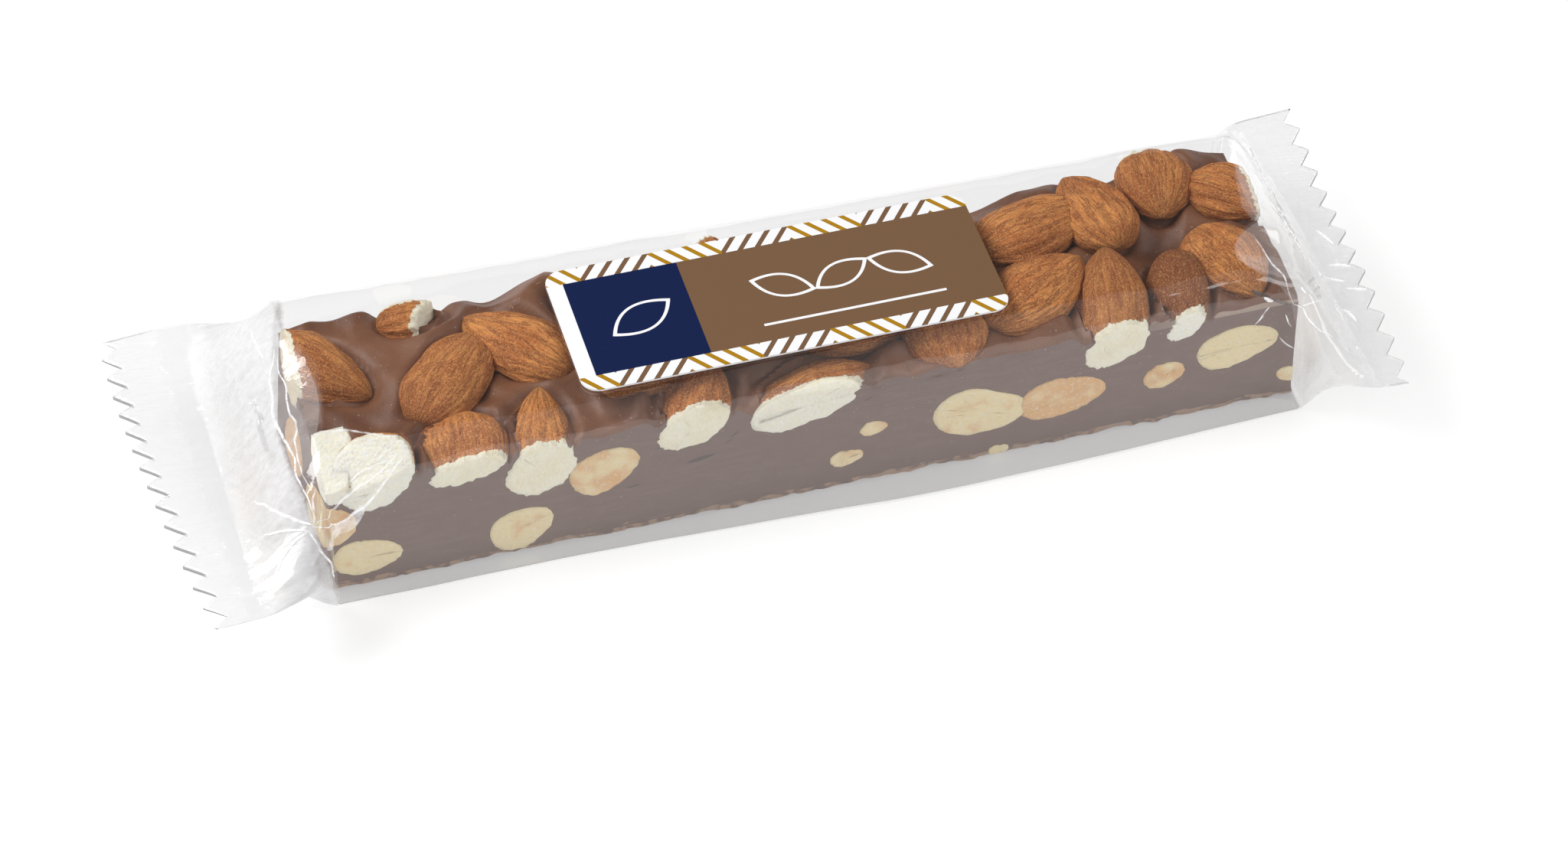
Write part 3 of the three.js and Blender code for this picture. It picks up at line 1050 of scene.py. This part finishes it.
def filmMaterial():
    shader = Shader("clearFilm")
    place = shader.place()
    x, y, z = shader.axes(place)
    facing = shader.node("ShaderNodeLayerWeight", inputs={"Blend": 0.5}, output="Facing")
    out = shader.attribute("outShare")
    inFin = (0 - x).ease(*filmLook["finFromLeft"]).most(x.ease(*filmLook["finFromRight"]))
    seal = out.ease(0.30, 0.36)
    wander = shader.noise(place, 0.12, 2)
    ribs = (y * filmLook["ribs"] + x * 1.6 + wander * 5).sine() * wander.ease(0.48, 0.60)
    streaks = shader.noise(shader.stretch(place, (0.14, 1, 1)), 0.8, 3, 0.6)
    crinkle = shader.noise(shader.stretch(place, (0.5, 1, 1)), 0.45, 4, 0.6)
    patches = shader.noise(place, 0.10, 2)
    soft = shader.noise(place, 0.07, 2, 0.5)
    inArc = x * 0
    for side, reach, middle, half, slope in film["arcs"]:
        away = (y - middle) / half
        edge = bar["length"] / 2 - (1 - away * away).most(0) * reach
        inArc = inArc.most(x * side > edge)
    crumple = 0.16 + patches.ease(0.5, 0.6) * (x > 0) * 0.7
    height = soft + streaks * (inArc * 0.10) + inFin * crinkle * crumple + seal * ribs * 0.10
    bump = shader.bump(height, 0.8)
    mirror = shader.surface(Base_Color=(*filmLook["mirror"], 1), Metallic=1.0,
                            Roughness=filmLook["roughness"], Normal=bump)
    clear = shader.node("ShaderNodeBsdfTransparent", inputs={"Color": (*filmLook["clear"], 1)})
    # the lowest layer of film, under the bar, which carries the painted shadow
    foot = 1 - z.ease(0.1, 0.5)
    fromMiddle = y - filmLook["gussetMiddle"]
    reach = filmLook["gussetFrom"] - fromMiddle * fromMiddle * filmLook["gussetCurve"]
    reach = reach - (filmLook["gussetTop"] - z).most(0) * filmLook["gussetSlope"]
    gusset = (x.size() + streaks * 0.8 - reach).ease(0.2, 1.4) * (1 - inFin) * (z > 1)
    gusset = gusset * (1 - (x > 0) * filmLook["gussetLess"])
    pitch, lean = (mix(fins["left"][key], fins["right"][key], x > 0) for key in ("pitch", "lean"))
    toothFront = ((fins["halfWidth"] + 6 - y) / pitch).fraction() < lean
    # painted shadow: a grey line along the front side of each tooth's cut edge
    cutEdge = (out > 1.015) * toothFront
    # The cloud's colour, with painted shadow under the bar and on each tooth's cut edge, and painted shade
    # where the film is folded in.
    milkColour = shader.layers(
        filmLook["milkColour"], (foot, filmLook["footShadowColour"]), (gusset, filmLook["gussetShadeColour"]),
        (cutEdge, filmLook["cutEdge"]))
    milk = shader.surface(Base_Color=milkColour, Roughness=0.6, Normal=bump)
    edgeOn = facing ** 5 * 0.9 * z.ease(0.1, 1.6)
    body = shader.blendSurfaces((edgeOn + filmLook["gloss"]).least(1), clear, mirror)
    cloud = shader.noise(shader.stretch(place, (0.2, 1, 1)), 0.35, 3, 0.6)
    haze = inArc * (1 - inFin) * filmLook["endMilk"] * (0.5 + cloud)
    haze = haze + inFin * filmLook["finMilk"] * (0.7 + streaks * 0.6)
    haze = haze + seal * filmLook["sealMilk"] * (0.4 + streaks)
    haze = haze + gusset * filmLook["gusset"] * (0.55 + streaks * 0.9)
    # the painted shadow under the bar and along the teeth joins the film's cloud here
    haze = haze + cutEdge * filmLook["cutEdgeShadow"] + foot * filmLook["footShadow"] + filmLook["milk"]
    return shader.finish(shader.blendSurfaces(haze.least(1), body, milk))


# Creases of the film, where it is folded over the bar's corners, drawn as thin ribbons with painted
# highlights and painted dark reflections

creaseShape = {
    "height": 0.2,
    "steps": 10,  # from one point of a crease to the next
    "around": 8,
    "wander": 0.5,  # how far a crease strays from its line
    # painted highlight: the white of a crease
    "white": (0.96, 0.96, 0.97),
    # painted reflection of the dark room: the dark of a crease
    "dark": (0.10, 0.075, 0.065),
    # the white of a crease glows with painted light
    "highlightGlow": 0.25,
}
# The points of each crease, its width, how strongly its painted highlight shows and how dark it is, where
# dark is a painted reflection of the dark room.
creases = [
    # from the left front corner, over the almonds and along the bar's end
    ([(-94.5, -26.5, 22.5), (-89.5, -22, 18), (-85, -22, 20), (-82, -21.5, 22.5), (-79.5, -21.5, 26),
      (-75.5, -20, 29)], 0.5, 0.55, 0),
    ([(-93.5, -26, 22.5), (-90, -22, 21.5), (-86.5, -21.5, 24), (-82.5, -21.5, 26.5), (-76.5, -20, 29.5)],
     0.4, 0.42, 0),
    ([(-92, -28.5, 19), (-87.5, -22, 17), (-84, -22, 21)], 3.0, 0.32, 0),
    ([(-92, 12.5, 29.5), (-94, 7, 27), (-95, -1.5, 25.5), (-94, -15.5, 27.5), (-93, -26, 23)], 0.55, 0.55, 0),
    ([(-92, 11, 29.5), (-92.5, 2, 28.5), (-93, -10, 28.5), (-92.5, -22.5, 26.5)], 0.4, 0.5, 0),
    ([(-94.5, 21.5, 27), (-94, 12.5, 27.5)], 0.5, 0.5, 0),
    ([(-92, -21.5, 27.5), (-93.5, -26, 23)], 0.4, 0.45, 0),
    ([(-94.5, -26.5, 22.5), (-93, -29.5, 19), (-91, -27, 9.5)], 0.45, 0.6, 0),
    ([(-94.5, -26.5, 22.5), (-98.5, -27.5, 20), (-102, -31.5, 17.5)], 0.6, 0.8, 0),
    ([(-94.5, -26.5, 22.5), (-98.5, -24, 21), (-102.5, -22.5, 18.5)], 0.5, 0.8, 0),
    ([(-93.5, -26, 22.5), (-96.5, -24, 23), (-99.5, -19, 21.5), (-102, -13.5, 19)], 0.6, 0.8, 0),
    ([(-89.5, -11.5, 30.5), (-84.5, -13, 31), (-78, -16, 31)], 0.3, 0.35, 0),
    ([(-86, -21, 26.5), (-83.5, -20.5, 28), (-77.5, -20, 29)], 0.3, 0.35, 0),
    # round the right front corner
    ([(80.5, -20.5, 28.5), (82, -21, 27.5), (84, -21, 26.5)], 0.9, 0.95, 1),
    ([(84.5, -21.5, 26), (87.5, -21.5, 24)], 0.8, 0.95, 0.9),
    ([(83, -21, 26.8), (83.8, -21.5, 26.2), (84.8, -21.5, 25.7)], 0.7, 0.8, 0),
    ([(84, -21.5, 24.5), (81, -22, 21)], 0.28, 0.4, 0),
    ([(87, -22, 22), (88.5, -22, 18.5)], 0.3, 0.6, 0),
    ([(86, -22.5, 17), (89.5, -23, 13)], 0.28, 0.4, 0),
    ([(85.5, -8.5, 31), (87, -13.5, 28.5), (87.5, -20, 28), (88.5, -21.5, 24.5)], 0.22, 0.35, 0),
    ([(90, -22, 23.5), (92.5, -23, 25)], 0.3, 0.5, 0),
    ([(88.5, -21.5, 24.5), (91, -26, 22), (94, -28.5, 20.5)], 0.3, 0.5, 0),
    # along the foot of the right fin and on it
    ([(98.5, 31.5, 16.5), (98.5, 26.5, 17), (95.5, 13, 23), (95, 1.5, 24), (95, -6, 24), (94.5, -10.5, 23.5)],
     0.45, 0.85, 0),
    ([(99.2, 31, 16.5), (99.2, 26, 17), (96.2, 13, 22.5), (95.8, 1.5, 23.5), (95.6, -6, 23.5)],
     0.3, 0.3, 0.6),
    ([(103, 4, 17), (104.5, -1, 17)], 0.6, 0.8, 0),
    ([(101.5, -6, 17), (105.5, -8, 17)], 0.5, 0.8, 0),
    ([(100, -9, 17.5), (103, -11, 17)], 0.5, 0.8, 0),
    ([(102.5, -13, 17), (106, -14.5, 17)], 0.5, 0.7, 0),
    ([(100, -16, 17), (101.5, -21.5, 17)], 0.6, 0.8, 0),
]


def makeCreases(filmPiece, material):
    mesh = filmPiece.data
    corners = [vert.co / metresPerMm for vert in mesh.vertices]
    surface = BVHTree.FromPolygons(corners, [face.vertices[:] for face in mesh.polygons])
    around = creaseShape["around"]
    shapes = []
    for number, (points, width, strength, dark) in enumerate(creases):
        line = [Vector(point) for point in points]
        line = [line[0]] + line + [line[-1]]
        rows = creaseShape["steps"] * (len(points) - 1)
        spots = []
        for row in range(rows + 1):
            index = min(row // creaseShape["steps"], len(points) - 2)
            point = curvePoint(line[index:index + 4], (0.5, 0.5), row / creaseShape["steps"] - index)
            stray = Vector([grain(point, 3, number + seed) for seed in (0, 7, 13)])
            spots.append(surface.find_nearest(point + stray * creaseShape["wander"])[:2])
        shape = bmesh.new()
        bmesh.ops.create_grid(shape, x_segments=rows, y_segments=around, size=1)
        for vert in shape.verts:
            row = round((vert.co.x + 1) / 2 * rows)
            angle = math.pi * (vert.co.y + 1)
            spot, normal = spots[row]
            ahead = spots[min(row + 1, rows)][0] - spots[max(row - 1, 0)][0]
            across = normal.cross(ahead).normalized()
            taper = max(0, math.sin(math.pi * row / rows)) ** 0.6
            vert.co = (spot + across * (math.cos(angle) * width / 2 * taper)
                       + normal * ((math.sin(angle) + 0.6) * creaseShape["height"] * taper))
        markPoints(shape, "strength", strength)
        markPoints(shape, "dark", dark)
        bmesh.ops.remove_doubles(shape, verts=shape.verts, dist=0.002)
        bmesh.ops.recalc_face_normals(shape, faces=shape.faces)
        shapes.append(shape)
    addPiece("creases", joinShapes(shapes), [material], "wrapper")


def creaseMaterial():
    shader = Shader("filmCrease")
    place = shader.place()
    breaks = shader.noise(place, 0.7, 3, 0.6)
    # a white painted highlight, blended towards a dark painted reflection by the crease's dark value
    colour = shader.blend(shader.attribute("dark"), creaseShape["white"], creaseShape["dark"])
    bump = shader.bump(shader.noise(place, 2.5, 2), 0.1)
    white = shader.surface(Base_Color=colour, Roughness=0.3, Normal=bump, Emission_Color=colour,
                           Emission_Strength=creaseShape["highlightGlow"])
    clear = shader.node("ShaderNodeBsdfTransparent")
    share = shader.attribute("strength") * (0.25 + breaks.ease(0.35, 0.6) * 0.75)
    return shader.finish(shader.blendSurfaces(share, clear, white))


# The label

labelPrint = {
    "border": 3.7,  # height of the striped bands along its top and bottom
    "margin": 3.0,  # width of the white strip at its left end
    "blueTo": 24.1,  # where the blue field ends, from the left edge
    "group": 13.15,  # length of each group of stripes
    "firstGroup": 6.5,
    "stripes": 4,  # in each group
    "stripeWidth": 0.35,  # as a share of the space from one to the next
    "slope": 0.78,
    "paper": (0.89, 0.89, 0.90),
    "blue": (0.002, 0.010, 0.062),
    "brown": (0.178, 0.097, 0.049),
    "gold": (0.40, 0.205, 0.004),
    "line": 0.55,
    "top": 0.05,  # how thick the printed skin is
    # leaf outlines: from the left edge, above the middle, half length, half height and turn
    "leaves": [(14.5, 0, 7.0, 3.6, 0.5), (41, 1.2, 6.2, 3.1, -0.45), (52, 1.2, 6.2, 3.1, 0.45),
               (63, 1.2, 6.2, 3.1, -0.45)],
    "rule": (52, 4.2, 17, 0.3),  # from the left edge, above the border, half length, half height
}


def labelMaterial():
    shader = Shader("printedLabel")
    low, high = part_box("label")
    left, front = low.x / metresPerMm, low.y / metresPerMm
    width = (high.y - low.y) / metresPerMm
    place = shader.place()
    x, y, z = shader.axes(place)
    u, v = x - left, y - front
    border = labelPrint["border"]
    fromMiddle = v - width / 2
    inField = fromMiddle.size() < width / 2 - border
    fromJoint = u - labelPrint["firstGroup"]
    odd = (fromJoint / (2 * labelPrint["group"]) + 4).fraction() < 0.5
    inBand = v - (fromMiddle > 0) * (width - border)
    slanted = fromJoint.size().pingpong(labelPrint["group"]) - inBand * labelPrint["slope"]
    apart = labelPrint["group"] / labelPrint["stripes"]
    stripes = ((slanted + 0.5) / apart + labelPrint["stripes"]).fraction() < labelPrint["stripeWidth"]
    ink = shader.blend(odd, labelPrint["gold"], labelPrint["brown"])
    colour = shader.blend(stripes, labelPrint["paper"], ink)

    centre, rise, halfLong, halfHigh = labelPrint["rule"]
    marks = ((v - (border + rise)).size() < halfHigh) * ((u - centre).size() < halfLong)
    for centre, rise, halfLong, halfHigh, turn in labelPrint["leaves"]:
        ahead, beside = turned(u - centre, v - (width / 2 + rise), turn)
        ovals = []  # a pointed one, and a smaller one that is taken out of it
        for line in (0, labelPrint["line"]):
            along = ahead / (halfLong - line * 1.8)
            ovals.append((beside / (halfHigh - line)).size() < 1 - along * along)
        marks = marks.most(ovals[0] - ovals[1])
    inMargin = u < labelPrint["margin"]
    field = shader.layers(
        labelPrint["brown"], (u < labelPrint["blueTo"], labelPrint["blue"]), (inMargin, labelPrint["paper"]),
        (marks, labelPrint["paper"]))
    colour = shader.layers(colour, (inField, field), (inMargin * inField, labelPrint["paper"]))
    onTop = z > high.z / metresPerMm - labelPrint["top"]
    colour = shader.blend(onTop, labelPrint["paper"], colour)
    fibres = shader.noise(place, 4, 3, 0.6)
    bump = shader.bump(fibres, 0.02)
    return shader.finish(shader.surface(
        Base_Color=colour, Roughness=0.5 + fibres * 0.08, Normal=bump, Specular_IOR_Level=0.2))


def dressLabel():
    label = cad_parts["label"]
    label.data.materials.clear()
    label.data.materials.append(labelMaterial())


makeCamera()
makeStudio()
print("camera and studio are set")
makeNougat(nougatMaterial())
makeAlmonds(skinMaterial(), fleshMaterial())
makeRoastedAlmonds(roastedMaterial())
makeCreases(makeFilm(filmMaterial()), creaseMaterial())
dressLabel()
print("label is printed")
